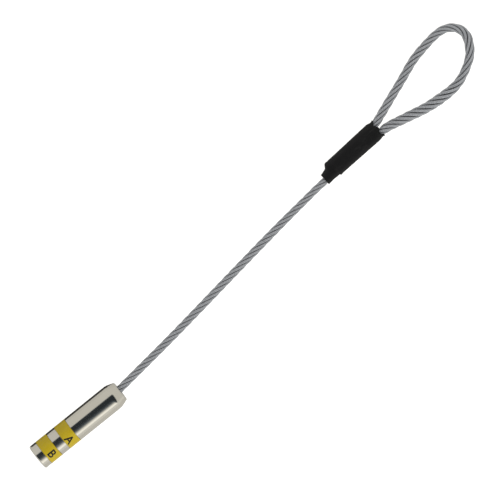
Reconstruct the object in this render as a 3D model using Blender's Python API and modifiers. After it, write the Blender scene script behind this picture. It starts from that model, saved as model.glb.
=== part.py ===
"""Wire-rope pulling lanyard with a set-screw head.

A turned steel head holds the end of a conductor with two set screws. It swivels on a ball
pressed on the end of a wire rope. The rope runs to a soft eye, which a pressed ferrule closes
under a heat-shrink sleeve.

Frame: +X along the head from its mouth to the rope, +Z up, the whole lanyard lying on z = 0.
The origin is under the middle of the head.
"""

import math

import bmesh
import bpy
import numpy as np
from mathutils import Matrix, Vector

MM = 0.001

# Clearance between pieces that touch or are cut by each other
GAP = 0.3 * MM

# Head
HEAD_LENGTH = 81.5 * MM
HEAD_RADIUS = 10.3 * MM
BORE_RADIUS = 6.5 * MM
MOUTH_ROUND = 0.9 * MM
MOUTH_CHAMFER = 1.0 * MM
SHOULDER_LENGTH = 7.0 * MM
SHOULDER_INSET = 2.0 * MM
BACK_ROUND = 0.9 * MM
LIP_ROUND = 0.7 * MM
HEAD_STEPS = 60
SMALL_STEPS = 32
# The rope's hole meets the ball's seat at about this share of the seat's radius past its centre
HOLE_ON_SEAT = 0.75

# Label bands, in shallow grooves of the head: distances are from the mouth
BAND_WIDTH = 10.2 * MM
BAND_THICKNESS = 0.5 * MM
BAND_B_START = 6.4 * MM
BAND_A_START = 24.3 * MM

# Set screws: an angle of 0 points up, and the angle grows towards -Y
SCREW_RADIUS = 3.175 * MM
SCREW_LENGTH = 6.35 * MM
SCREW_SINK = 0.4 * MM
SCREW_ANGLE = math.radians(120)
SCREW_CHAMFER = 0.5 * MM
SCREW_CUP_DEPTH = 0.7 * MM
SOCKET_ACROSS_FLATS = 3.175 * MM
SOCKET_DEPTH = 3.0 * MM
# How far a cutter reaches beyond the surface that it cuts
OVERRUN = 4.0 * MM

# Rope, and the ball pressed on its end
ROPE_RADIUS = 3.2 * MM
PRESSED_RADIUS = 2.45 * MM
BALL_RADIUS = 6.2 * MM
BALL_TO_BACK = 13.5 * MM
BALL_FRONT_CUT = 4.6 * MM
ROPE_YAW = math.radians(6.0)
SAG = 0.7 * MM

# Ferrule, pressed over two passes of the rope, and the heat-shrink over it
FERRULE_START = Vector((249.0, 30.6, 0.0)) * MM
FERRULE_END = Vector((288.5, 32.8, 0.0)) * MM
FERRULE_WALL = 0.95 * MM
FERRULE_EASE = 0.6 * MM
SHRINK_WALL = 0.8 * MM
SHRINK_TAIL = 12.4 * MM
SHRINK_TOP = 4.2 * MM
# The tail opens for the dead end from this share of its length, by this much on that side
TAIL_OPENS = 0.56
TAIL_SLACK = 1.5 * MM
# The sleeve is looser on the dead end's side, and wider at the eye by this much on each side
BODY_SLACK = 0.2 * MM
LIVE_SWELL = 0.4 * MM
DEAD_SWELL = 0.55 * MM
# The top holds the two legs from this share of its length, and flares at its edge
TOP_HOLDS = 0.7
TOP_FLARE = 0.25 * MM
# A slice across a leg that leans from the ferrule's line is wider than the leg by this share
LEG_LEAN = 1.06

PRESSED_SHARE = PRESSED_RADIUS / ROPE_RADIUS

# Where the rope lies, as x and y from the centre of the ball (in mm), and how far its strands
# have opened there, as a share of its radius
RUN_ROUTE = (
    (0.0, 0.0, PRESSED_SHARE),
    (6.0, 0.63, PRESSED_SHARE),
    (9.0, 0.93, 0.98),
    (20.0, 2.1, 0.98),
    (62.0, 6.6, 0.98),
    (118.0, 13.6, 1.0),
    (174.0, 20.7, 1.0),
    (200.0, 23.7, 0.95),
    (215.0, 25.25, 0.92),
    (229.0, 26.65, 0.92),
    (236.6, 27.3, 0.92),
    (243.0, 28.05, 0.86),
)
EYE_ROUTE = (
    (292.6, 29.8, 0.95),
    (298.0, 29.45, 1.18),
    (309.0, 27.3, 1.24),
    (320.0, 24.8, 1.28),
    (332.0, 22.2, 1.30),
    (343.5, 21.0, 1.36),
    (354.0, 20.7, 1.28),
    (363.0, 21.8, 1.15),
    (370.5, 24.6, 1.07),
    (377.7, 28.6, 1.07),
    (383.7, 33.4, 1.14),
    (387.8, 39.2, 1.20),
    (390.4, 45.4, 1.20),
    (390.2, 51.2, 1.14),
    (387.2, 56.4, 1.08),
    (381.7, 60.1, 1.05),
    (374.5, 61.4, 1.05),
    (366.5, 60.8, 1.06),
    (356.8, 59.2, 1.10),
    (347.1, 57.0, 1.08),
    (334.2, 52.1, 1.06),
    (320.0, 46.8, 1.05),
    (305.2, 41.3, 1.07),
    (298.0, 38.6, 1.06),
    (292.6, 36.6, 0.95),
)
DEAD_END = 3.5 * MM
EYE_TIP_X = 390.0 * MM
EYE_TIP_LIFT = 1.0 * MM
# The point of the run's route where the rope comes out of the ball
OUT_OF_BALL = 3
# Shares of the ferrule's length where the route has points
PASS_SHARES = (-0.02, 0.3, 0.7, 1.02)
BALL_SPACING = 3.0 * MM
RUN_SPACING = 13.0 * MM
EYE_SPACING = 5.5 * MM

COLLECTION = "pulling_lanyard"

MATERIALS = {
    "plated_steel": ((0.72, 0.71, 0.68), 0.22, 1.0),
    "yellow_band": ((0.62, 0.52, 0.03), 0.30, 0.0),
    "black_oxide_steel": ((0.05, 0.05, 0.055), 0.40, 1.0),
    "pressed_steel": ((0.50, 0.50, 0.51), 0.35, 1.0),
    "galvanised_rope": ((0.48, 0.50, 0.52), 0.42, 1.0),
    "pressed_aluminium": ((0.66, 0.67, 0.69), 0.38, 1.0),
    "heat_shrink": ((0.012, 0.012, 0.013), 0.48, 0.0),
}

# Places that follow from the sizes above
MOUTH_X = -HEAD_LENGTH / 2
BACK_X = HEAD_LENGTH / 2
BALL_CENTRE = Vector((BACK_X - BALL_TO_BACK, 0.0, HEAD_RADIUS))
SEAT_RADIUS = BALL_RADIUS + GAP
GROOVE_RADIUS = HEAD_RADIUS - BAND_THICKNESS - GAP
PASS_OFFSET = PRESSED_RADIUS + GAP / 2
FERRULE_HALF_HEIGHT = PRESSED_RADIUS + GAP + FERRULE_WALL
SHRINK_HALF_HEIGHT = FERRULE_HALF_HEIGHT + GAP + SHRINK_WALL
SLEEVE_HEIGHT = SHRINK_HALF_HEIGHT
EYE_TIP_HEIGHT = ROPE_RADIUS + EYE_TIP_LIFT
RUN_DIP = math.atan2(HEAD_RADIUS - SLEEVE_HEIGHT, FERRULE_START.x)


# ---------------------------------------------------------------- scene and material helpers


def clear_scene():
    for obj in list(bpy.data.objects):
        bpy.data.objects.remove(obj, do_unlink=True)


def make_collection(name):
    collection = bpy.data.collections.new(name)
    bpy.context.scene.collection.children.link(collection)
    return collection


def make_material(name):
    colour, roughness, metallic = MATERIALS[name]
    material = bpy.data.materials.new(name)
    material.use_nodes = True
    shader = material.node_tree.nodes["Principled BSDF"]
    shader.inputs["Base Color"].default_value = (*colour, 1.0)
    shader.inputs["Roughness"].default_value = roughness
    shader.inputs["Metallic"].default_value = metallic
    material.diffuse_color = (*colour, 1.0)
    return material


def add_object(name, mesh, collection, material=None):
    obj = bpy.data.objects.new(name, mesh)
    collection.objects.link(obj)
    if material:
        mesh.materials.append(material)
    return obj


def smooth_faces(mesh, angle=35):
    mesh.shade_smooth()
    mesh.set_sharp_from_angle(angle=math.radians(angle))


def turned_solid(name, profile, collection, steps=HEAD_STEPS, material=None):
    """A closed profile of (radius, z) points, turned about Z. It runs down its outer side."""
    mesh = bpy.data.meshes.new(name)
    solid = bmesh.new()
    points = [solid.verts.new((radius, 0.0, z)) for radius, z in profile]
    for first, second in zip(points, points[1:] + points[:1]):
        on_axis = first.co.x == 0.0 and second.co.x == 0.0
        if not on_axis:
            solid.edges.new((first, second))
    solid.to_mesh(mesh)
    solid.free()
    obj = add_object(name, mesh, collection, material)
    screw = obj.modifiers.new("Turn", "SCREW")
    screw.axis = "Z"
    screw.steps = steps
    screw.render_steps = steps
    screw.use_merge_vertices = True
    screw.merge_threshold = 0.01 * MM
    screw.use_smooth_shade = True
    return obj


def arc(centre_r, centre_z, radius, start, end, count):
    """Points on an arc in a profile, by angle in degrees from the +r direction."""
    points = []
    for index in range(count + 1):
        angle = math.radians(start + (end - start) * index / count)
        points.append((centre_r + radius * math.cos(angle), centre_z + radius * math.sin(angle)))
    return points


def cutter_cylinder(name, radius, start, end, collection, sides=32):
    """A cylinder from one point to another, for cutting."""
    solid = bmesh.new()
    length = (end - start).length
    bmesh.ops.create_cone(solid, cap_ends=True, segments=sides, radius1=radius,
                          radius2=radius, depth=length)
    mesh = bpy.data.meshes.new(name)
    solid.to_mesh(mesh)
    solid.free()
    obj = add_object(name, mesh, collection)
    turn = (end - start).to_track_quat("Z", "Y").to_matrix().to_4x4()
    obj.matrix_world = Matrix.Translation((start + end) / 2) @ turn
    obj.display_type = "WIRE"
    obj.hide_render = True
    return obj


def cut(obj, cutter):
    modifier = obj.modifiers.new("Cut " + cutter.name, "BOOLEAN")
    modifier.operation = "DIFFERENCE"
    modifier.object = cutter
    modifier.solver = "EXACT"
    return modifier


# ---------------------------------------------------------------- head


def along_head(x):
    """The place on the head's line that is a distance x from the mouth."""
    return MOUTH_X + x


def groove(start):
    """The points of one band groove, from its far side back to its near side."""
    near = along_head(start - GAP)
    far = along_head(start + BAND_WIDTH + GAP)
    return [(HEAD_RADIUS, far), (GROOVE_RADIUS, far), (GROOVE_RADIUS, near), (HEAD_RADIUS, near)]


def rope_hole_radius(x):
    """Room for the rope, leaning as it does, where it passes x in front of the ball's centre."""
    lean = math.hypot(math.tan(ROPE_YAW), math.tan(RUN_DIP))
    return ROPE_RADIUS / math.cos(ROPE_YAW) + lean * x + 2 * GAP


def head_profile():
    ball_x = BACK_X - BALL_TO_BACK
    shoulder_radius = HEAD_RADIUS - SHOULDER_INSET
    slope = math.degrees(math.atan2(SHOULDER_INSET, SHOULDER_LENGTH))
    hole_out = rope_hole_radius(BALL_TO_BACK)
    seat_angle = math.acos(rope_hole_radius(SEAT_RADIUS * HOLE_ON_SEAT) / SEAT_RADIUS)
    hole_in_x = SEAT_RADIUS * math.sin(seat_angle)
    points = []
    # back face, from the rope hole's lip to the rounded shoulder
    points += arc(hole_out + LIP_ROUND, BACK_X - LIP_ROUND, LIP_ROUND, 180, 90, 3)
    points += arc(shoulder_radius - BACK_ROUND, BACK_X - BACK_ROUND, BACK_ROUND, 90, slope, 3)
    points.append((HEAD_RADIUS, BACK_X - SHOULDER_LENGTH))
    # outside, with a groove for each band
    points += groove(BAND_A_START)
    points += groove(BAND_B_START)
    points += arc(HEAD_RADIUS - MOUTH_ROUND, MOUTH_X + MOUTH_ROUND, MOUTH_ROUND, 0, -90, 3)
    # mouth and bore, up to the ball's seat
    points.append((BORE_RADIUS + MOUTH_CHAMFER, MOUTH_X))
    points.append((BORE_RADIUS, MOUTH_X + MOUTH_CHAMFER))
    points.append((BORE_RADIUS, ball_x))
    points += arc(0.0, ball_x, SEAT_RADIUS, 0, math.degrees(seat_angle), 5)
    points.append((rope_hole_radius(hole_in_x), ball_x + hole_in_x + GAP))
    return tidy_profile(points)


def tidy_profile(points, nearest=0.02 * MM):
    """Leaves out points that lie on the one before."""
    kept = []
    for point in points:
        if not kept or math.dist(point, kept[-1]) > nearest:
            kept.append(point)
    if math.dist(kept[0], kept[-1]) < nearest:
        kept.pop()
    return kept


def lie_along_x(obj, x=0.0):
    """Turns a solid made about Z to lie along the head's own line."""
    turn = Matrix.Rotation(math.radians(90), 4, "Y")
    obj.matrix_world = Matrix.Translation((x, 0.0, HEAD_RADIUS)) @ turn
    return obj


def screw_direction():
    """Outwards along the set screws."""
    return Vector((0.0, -math.sin(SCREW_ANGLE), math.cos(SCREW_ANGLE)))


def screw_seat(band_start):
    """The point on the head's own line where a band's set screw points."""
    return Vector((along_head(band_start + BAND_WIDTH / 2), 0.0, HEAD_RADIUS))


def screw_hole(name, band_start, radius, cutters):
    seat = screw_seat(band_start)
    outwards = screw_direction()
    inner = seat + outwards * (BORE_RADIUS - OVERRUN)
    outer = seat + outwards * (HEAD_RADIUS + OVERRUN)
    return cutter_cylinder(name, radius, inner, outer, cutters)


def make_head(parts, cutters, material):
    head = turned_solid("head_body", head_profile(), parts, material=material)
    lie_along_x(head)
    for letter, start in (("a", BAND_A_START), ("b", BAND_B_START)):
        cut(head, screw_hole("thread_hole_" + letter, start, SCREW_RADIUS + GAP, cutters))
    smooth_faces(head.data)
    return head


def make_band(letter, start, parts, cutters, material):
    near = along_head(start)
    far = along_head(start + BAND_WIDTH)
    inside = GROOVE_RADIUS + GAP
    profile = [(inside, far), (HEAD_RADIUS, far), (HEAD_RADIUS, near), (inside, near)]
    band = turned_solid("band_" + letter, profile, parts, material=material)
    lie_along_x(band)
    hole_radius = SCREW_RADIUS + 3 * GAP
    cut(band, screw_hole("band_hole_" + letter, start, hole_radius, cutters))
    smooth_faces(band.data)
    return band


def socket_cutter(name, cutters):
    """A hexagonal prism, down from the top of a set screw."""
    solid = bmesh.new()
    corner_radius = SOCKET_ACROSS_FLATS / 2 / math.cos(math.radians(30))
    bmesh.ops.create_cone(solid, cap_ends=True, segments=6, radius1=corner_radius,
                          radius2=corner_radius, depth=2 * SOCKET_DEPTH)
    mesh = bpy.data.meshes.new(name)
    solid.to_mesh(mesh)
    solid.free()
    cutter = add_object(name, mesh, cutters)
    cutter.display_type = "WIRE"
    cutter.hide_render = True
    return cutter


def make_set_screw(letter, start, parts, cutters, material):
    """A hexagon socket set screw with a cup point. Its origin is the centre of its outer end."""
    foot = -SCREW_LENGTH
    profile = [
        (0.0, 0.0),
        (SCREW_RADIUS - SCREW_CHAMFER, 0.0),
        (SCREW_RADIUS, -SCREW_CHAMFER),
        (SCREW_RADIUS, foot + SCREW_CHAMFER),
        (SCREW_RADIUS - SCREW_CHAMFER, foot),
        (0.0, foot + SCREW_CUP_DEPTH),
    ]
    screw = turned_solid("set_screw_" + letter, profile, parts, SMALL_STEPS, material)
    outwards = screw_direction()
    head_of_screw = screw_seat(start) + outwards * (HEAD_RADIUS - SCREW_SINK)
    turn = outwards.to_track_quat("Z", "X").to_matrix().to_4x4()
    screw.matrix_world = Matrix.Translation(head_of_screw) @ turn
    cutter = socket_cutter("socket_" + letter, cutters)
    cutter.matrix_world = screw.matrix_world.copy()
    cut(screw, cutter)
    smooth_faces(screw.data)
    return screw


# ---------------------------------------------------------------- rope


def ferrule_axis():
    return (FERRULE_END - FERRULE_START).normalized()


def ferrule_side():
    """Sideways across the ferrule, towards the dead end's pass."""
    axis = ferrule_axis()
    return Vector((-axis.y, axis.x, 0.0))


def rope_height(x):
    """Height of the rope's centre, by distance along X from the ball's centre."""
    start = FERRULE_START.x
    if x < start:
        share = max(x, 0.0) / start
        slope = BALL_CENTRE.z + (SLEEVE_HEIGHT - BALL_CENTRE.z) * share
        return slope - 4 * SAG * share * (1 - share) * share
    if x < FERRULE_END.x:
        return SLEEVE_HEIGHT
    share = min(1.0, (x - FERRULE_END.x) / (EYE_TIP_X - FERRULE_END.x))
    ease = share * share * (3 - 2 * share)
    return SLEEVE_HEIGHT + (EYE_TIP_HEIGHT - SLEEVE_HEIGHT) * ease


def ferrule_pass(side, shares):
    """Route points of one pass of the rope, by share of the ferrule's length."""
    points = []
    for share in shares:
        middle = FERRULE_START.lerp(FERRULE_END, share)
        point = middle + ferrule_side() * PASS_OFFSET * side
        points.append((point.x, point.y, PRESSED_SHARE))
    return points


def rope_route():
    """Every route point from the ball to the dead end: x, y and openness, x and y in metres."""
    route = [(x * MM, y * MM, open_share) for x, y, open_share in RUN_ROUTE]
    route += ferrule_pass(-1, PASS_SHARES)
    route += [(x * MM, y * MM, open_share) for x, y, open_share in EYE_ROUTE]
    dead_share = -DEAD_END / (FERRULE_END - FERRULE_START).length
    route += ferrule_pass(1, (*PASS_SHARES[:0:-1], dead_share))
    start = BALL_CENTRE
    points = []
    for x, y, open_share in route:
        points.append((start.x + x, start.y + y, rope_height(x), open_share))
    cos_lean = math.cos(ROPE_YAW)
    first = points[0]
    front = (first[0] - BALL_FRONT_CUT * cos_lean, first[1] - BALL_FRONT_CUT * math.sin(ROPE_YAW),
             first[2] + BALL_FRONT_CUT * math.tan(RUN_DIP), first[3])
    return np.array([front] + points)


def natural_spline(values, places, wanted):
    """A natural cubic spline through values at places, read at the wanted places."""
    count = len(places)
    steps = np.diff(places)
    slopes = np.diff(values, axis=0) / steps[:, None]
    matrix = np.zeros((count, count))
    right = np.zeros((count, values.shape[1]))
    matrix[0, 0] = matrix[-1, -1] = 1.0
    for row in range(1, count - 1):
        matrix[row, row - 1] = steps[row - 1]
        matrix[row, row] = 2 * (steps[row - 1] + steps[row])
        matrix[row, row + 1] = steps[row]
        right[row] = 6 * (slopes[row] - slopes[row - 1])
    bends = np.linalg.solve(matrix, right)
    spans = np.clip(np.searchsorted(places, wanted, side="right") - 1, 0, count - 2)
    before = (places[spans + 1] - wanted)[:, None]
    after = (wanted - places[spans])[:, None]
    width = steps[spans][:, None]
    low, high = bends[spans], bends[spans + 1]
    return ((low * before ** 3 + high * after ** 3) / (6 * width)
            + (values[spans] / width - low * width / 6) * before
            + (values[spans + 1] / width - high * width / 6) * after)


def rope_points():
    """Points along the rope's centre line, closer together round the eye than along the run.

    Points fall just outside the ferrule's ends, so the rope tapers before it enters."""
    route = rope_route()
    lengths = np.linalg.norm(np.diff(route[:, :3], axis=0), axis=1)
    places = np.concatenate(([0.0], np.cumsum(lengths)))
    ball = OUT_OF_BALL + 1
    pass_start = len(RUN_ROUTE) + 1
    eye_start = pass_start + len(PASS_SHARES) - 1
    eye_end = eye_start + len(EYE_ROUTE) + 1
    wanted = [0.0]
    stretches = ((0, ball, BALL_SPACING), (ball, pass_start, RUN_SPACING),
                 (pass_start, eye_start, RUN_SPACING), (eye_start, eye_end, EYE_SPACING),
                 (eye_end, len(route) - 1, RUN_SPACING))
    for first, last, spacing in stretches:
        start, end = places[first], places[last]
        wanted.extend(np.linspace(start, end, max(1, round((end - start) / spacing)) + 1)[1:])
    wanted = np.array(wanted)
    centre = natural_spline(route[:, :3], places, wanted)
    share = np.interp(wanted, places, route[:, 3])
    return centre, share, wanted


def make_rope(parts, material):
    centre, share, places = rope_points()
    curve = bpy.data.curves.new("wire_rope", "CURVE")
    curve.dimensions = "3D"
    curve.bevel_depth = ROPE_RADIUS
    curve.bevel_resolution = 4
    curve.use_fill_caps = True
    spline = curve.splines.new("POLY")
    spline.points.add(len(centre) - 1)
    for point, place, open_share in zip(spline.points, centre, share):
        point.co = (*place, 1.0)
        point.radius = open_share
    curve.materials.append(material)
    rope = bpy.data.objects.new("wire_rope", curve)
    parts.objects.link(rope)
    print("rope length", round(float(places[-1]), 4), "points", len(centre))
    return rope


def make_rope_stop(parts, material):
    """A ball pressed on the rope, cut flat at its front, with the rope's hole through it."""
    hole = PRESSED_RADIUS + GAP
    back_angle = math.degrees(math.acos((hole + GAP) / BALL_RADIUS))
    front_angle = -math.degrees(math.asin(BALL_FRONT_CUT / BALL_RADIUS))
    profile = arc(0.0, 0.0, BALL_RADIUS, back_angle, front_angle, 12)
    profile.append((hole, -BALL_FRONT_CUT))
    profile.append((hole, BALL_RADIUS * math.sin(math.radians(back_angle)) - GAP))
    stop = turned_solid("rope_stop", profile, parts, SMALL_STEPS, material)
    lean = Vector((math.cos(ROPE_YAW), math.sin(ROPE_YAW), -math.tan(RUN_DIP)))
    turn = lean.to_track_quat("Z", "Y").to_matrix().to_4x4()
    stop.matrix_world = Matrix.Translation(BALL_CENTRE) @ turn
    smooth_faces(stop.data)
    return stop


# ---------------------------------------------------------------- ferrule and heat-shrink


def stadium(half_width, half_height, sides=32):
    """Points round a flat-sided oval, anticlockwise, as (across, up)."""
    flat = half_width - half_height
    points = []
    for index in range(sides):
        angle = 2 * math.pi * (index + 0.5) / sides
        across = math.cos(angle)
        side = flat if across > 0 else -flat
        points.append((side + half_height * across, half_height * math.sin(angle)))
    return points


def ring(solid, centre, axis, outline):
    """Adds an outline's points across an axis that lies level."""
    side = Vector((-axis.y, axis.x, 0.0)).normalized()
    up = Vector((0.0, 0.0, 1.0))
    return [solid.verts.new(centre + side * across + up * height) for across, height in outline]


def bridge(solid, first, second):
    """Faces between two rings with the same number of points."""
    count = len(first)
    for index in range(count):
        after = (index + 1) % count
        solid.faces.new((first[index], first[after], second[after], second[index]))


def lofted_tube(name, outer, inner, parts, material):
    """A tube from rings of an outer skin and an inner skin, joined at both ends.

    Each ring is (centre, axis, outline)."""
    solid = bmesh.new()
    outside = [ring(solid, *section) for section in outer]
    inside = [ring(solid, *section) for section in inner]
    for first, second in zip(outside, outside[1:]):
        bridge(solid, first, second)
    for first, second in zip(inside, inside[1:]):
        bridge(solid, second, first)
    bridge(solid, inside[0], outside[0])
    bridge(solid, outside[-1], inside[-1])
    bmesh.ops.recalc_face_normals(solid, faces=solid.faces)
    mesh = bpy.data.meshes.new(name)
    solid.to_mesh(mesh)
    solid.free()
    obj = add_object(name, mesh, parts, material)
    smooth_faces(mesh)
    return obj


def at_sleeve(distance, side=0.0):
    """A point on the sleeve's line, by distance past the ferrule's start, moved sideways."""
    place = FERRULE_START + ferrule_axis() * distance + ferrule_side() * side
    return Vector((BALL_CENTRE.x + place.x, place.y, SLEEVE_HEIGHT))


def ferrule_half_width():
    return 2 * PRESSED_RADIUS + GAP / 2 + GAP + FERRULE_WALL


def make_ferrule(parts, material):
    """An oval ferrule with one oval hole, its ends eased round the rope."""
    length = (FERRULE_END - FERRULE_START).length
    half_width = ferrule_half_width()
    wall = FERRULE_WALL
    ease = FERRULE_EASE
    axis = ferrule_axis()
    outer = []
    for distance, inset in ((0.0, ease), (ease, 0.0), (length - ease, 0.0), (length, ease)):
        outline = stadium(half_width - inset, FERRULE_HALF_HEIGHT - inset)
        outer.append((at_sleeve(distance), axis, outline))
    inner = []
    for distance in (0.0, length):
        outline = stadium(half_width - wall, FERRULE_HALF_HEIGHT - wall)
        inner.append((at_sleeve(distance), axis, outline))
    return lofted_tube("rope_ferrule", outer, inner, parts, material)


def rope_beside(distance, leg):
    """Where a leg of the rope passes a distance on the sleeve: its sideways place and radius.

    Leg 1 comes from the head and leg 2 is the one that ends in the ferrule."""
    centre, share, _ = rope_points()
    axis, side = ferrule_axis(), ferrule_side()
    offsets = centre[:, :2] - np.array((BALL_CENTRE.x + FERRULE_START.x, FERRULE_START.y))
    along = offsets @ np.array((axis.x, axis.y))
    across = offsets @ np.array((side.x, side.y))
    tip = int(np.argmax(along))
    part = slice(0, tip + 1) if leg == 1 else slice(None, tip, -1)
    place = float(np.interp(distance, along[part], across[part]))
    radius = float(np.interp(distance, along[part], share[part])) * ROPE_RADIUS
    return place, radius


def tail_sections():
    """The sleeve's drawn-down end, round the rope from the head and the stub of its dead end."""
    body = ferrule_half_width() + GAP
    stub = PASS_OFFSET + PRESSED_RADIUS + GAP
    height = ROPE_RADIUS + GAP
    sections = []
    opens = -SHRINK_TAIL * TAIL_OPENS
    for distance, slack in ((-SHRINK_TAIL, TAIL_SLACK), (opens, 2 * TAIL_SLACK)):
        place, radius = rope_beside(distance, 1)
        hold = radius + GAP
        sections.append((distance, place - hold, place + hold + slack, height))
    place, radius = rope_beside(-DEAD_END - GAP, 1)
    low = place - radius - 2 * GAP
    sections.append((-DEAD_END - GAP, low, stub + TAIL_SLACK, height))
    sections.append((-4 * GAP, low, body, height + BODY_SLACK))
    return sections


def body_sections(length):
    """The sleeve's body over the ferrule, wider towards the eye."""
    body = ferrule_half_width() + GAP
    height = FERRULE_HALF_HEIGHT + GAP
    sections = []
    for distance, share in ((-GAP, 0.0), (length / 2, 0.5), (length + GAP, 1.0)):
        low = -body - LIVE_SWELL * share
        high = body + BODY_SLACK + DEAD_SWELL * share
        sections.append((distance, low, high, height))
    return sections


def top_sections(length):
    """The sleeve's open end, round the two legs of the eye as they part."""
    height = FERRULE_HALF_HEIGHT + GAP
    sections = []
    holds = length + SHRINK_TOP * TOP_HOLDS
    for distance, flare in ((holds, 0.0), (length + SHRINK_TOP, TOP_FLARE)):
        low_place, low_radius = rope_beside(distance, 1)
        high_place, high_radius = rope_beside(distance, 2)
        low = low_place - low_radius * LEG_LEAN - GAP - flare
        high = high_place + high_radius * LEG_LEAN + GAP + flare
        sections.append((distance, low, high, height - BODY_SLACK / 2))
    return sections


def make_heat_shrink(parts, material):
    """A sleeve shrunk over the ferrule, drawn down on the rope at one end."""
    length = (FERRULE_END - FERRULE_START).length
    axis = ferrule_axis()
    # distance past the ferrule's start, inner edges on the two sides, inner half height
    sections = tail_sections() + body_sections(length) + top_sections(length)
    outer, inner = [], []
    for distance, low, high, half_height in sections:
        centre = at_sleeve(distance, (low + high) / 2)
        centre.z = rope_height(FERRULE_START.x + distance)
        half_width = (high - low) / 2
        inner.append((centre, axis, stadium(half_width, half_height)))
        outer.append((centre, axis, stadium(half_width + SHRINK_WALL, half_height + SHRINK_WALL)))
    return lofted_tube("heat_shrink_sleeve", outer, inner, parts, material)


# ---------------------------------------------------------------- the lanyard


def build():
    clear_scene()
    parts = make_collection(COLLECTION)
    cutters = make_collection("cutters")
    steel = make_material("plated_steel")
    yellow = make_material("yellow_band")
    black_steel = make_material("black_oxide_steel")
    make_head(parts, cutters, steel)
    for letter, start in (("a", BAND_A_START), ("b", BAND_B_START)):
        make_band(letter, start, parts, cutters, yellow)
        make_set_screw(letter, start, parts, cutters, black_steel)
    make_rope_stop(parts, make_material("pressed_steel"))
    make_rope(parts, make_material("galvanised_rope"))
    make_ferrule(parts, make_material("pressed_aluminium"))
    make_heat_shrink(parts, make_material("heat_shrink"))
    bpy.context.view_layer.update()


build()
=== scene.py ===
# %% [markdown]
# # A wire-rope pulling lanyard
#
# A bright plated steel head grips the end of an electrical conductor with two set screws. It
# swivels on the end of a galvanised wire rope, and the rope ends in a soft eye that a pressed
# ferrule closes under black heat-shrink. The engineering model gives every size and every joint.
# This notebook builds the surfaces that the eye sees around that fixed frame.

# %% Load the frame
import math

import bmesh
import bpy
import numpy as np
from mathutils import Matrix, Vector


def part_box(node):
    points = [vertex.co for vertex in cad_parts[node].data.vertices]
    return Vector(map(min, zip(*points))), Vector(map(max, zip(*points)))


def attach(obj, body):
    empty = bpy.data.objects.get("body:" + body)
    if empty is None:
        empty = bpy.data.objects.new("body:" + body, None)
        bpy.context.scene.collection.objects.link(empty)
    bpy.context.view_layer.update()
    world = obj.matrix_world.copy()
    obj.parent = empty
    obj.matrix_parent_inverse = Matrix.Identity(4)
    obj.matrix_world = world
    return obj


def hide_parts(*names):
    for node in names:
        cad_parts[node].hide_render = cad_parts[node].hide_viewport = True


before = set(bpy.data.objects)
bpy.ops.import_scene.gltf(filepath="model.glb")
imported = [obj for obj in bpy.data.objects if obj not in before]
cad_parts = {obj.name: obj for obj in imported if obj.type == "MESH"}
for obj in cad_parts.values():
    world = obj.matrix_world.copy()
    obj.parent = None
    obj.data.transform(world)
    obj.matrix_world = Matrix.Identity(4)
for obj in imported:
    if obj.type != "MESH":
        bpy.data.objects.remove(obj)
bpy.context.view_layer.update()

head_low, head_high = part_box("head_body")
AXIS_HEIGHT = (head_low.z + head_high.z) / 2

# %% [markdown]
# ## The camera
#
# The lanyard lies flat and is looked at from straight above, with the head at the lower left and
# the eye at the upper right. A very long lens far away keeps the rope's far end as large as its
# near end. A straight-down camera needs only one turn, about the upright axis, to set the slant.

# %% Camera straight above
LENS_MM = 300.0
SENSOR_MM = 36.0
VIEW_WIDTH = 0.3825
SLANT = math.radians(38.8)
VIEW_CENTRE = Vector((0.1855, 0.02195, AXIS_HEIGHT))


def link(name, data):
    """Puts a mesh, a light or other data into the scene as a new object."""
    piece = bpy.data.objects.new(name, data)
    bpy.context.scene.collection.objects.link(piece)
    return piece


camera_data = bpy.data.cameras.new("camera")
camera_data.lens, camera_data.sensor_width = LENS_MM, SENSOR_MM
camera_data.clip_end = 20.0
camera = link("camera", camera_data)
camera.location = VIEW_CENTRE + Vector((0.0, 0.0, VIEW_WIDTH * LENS_MM / SENSOR_MM))
camera.rotation_euler = (0.0, 0.0, -SLANT)
bpy.context.scene.camera = camera
print("camera is", round(camera.location.z, 2), "m up")
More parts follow.
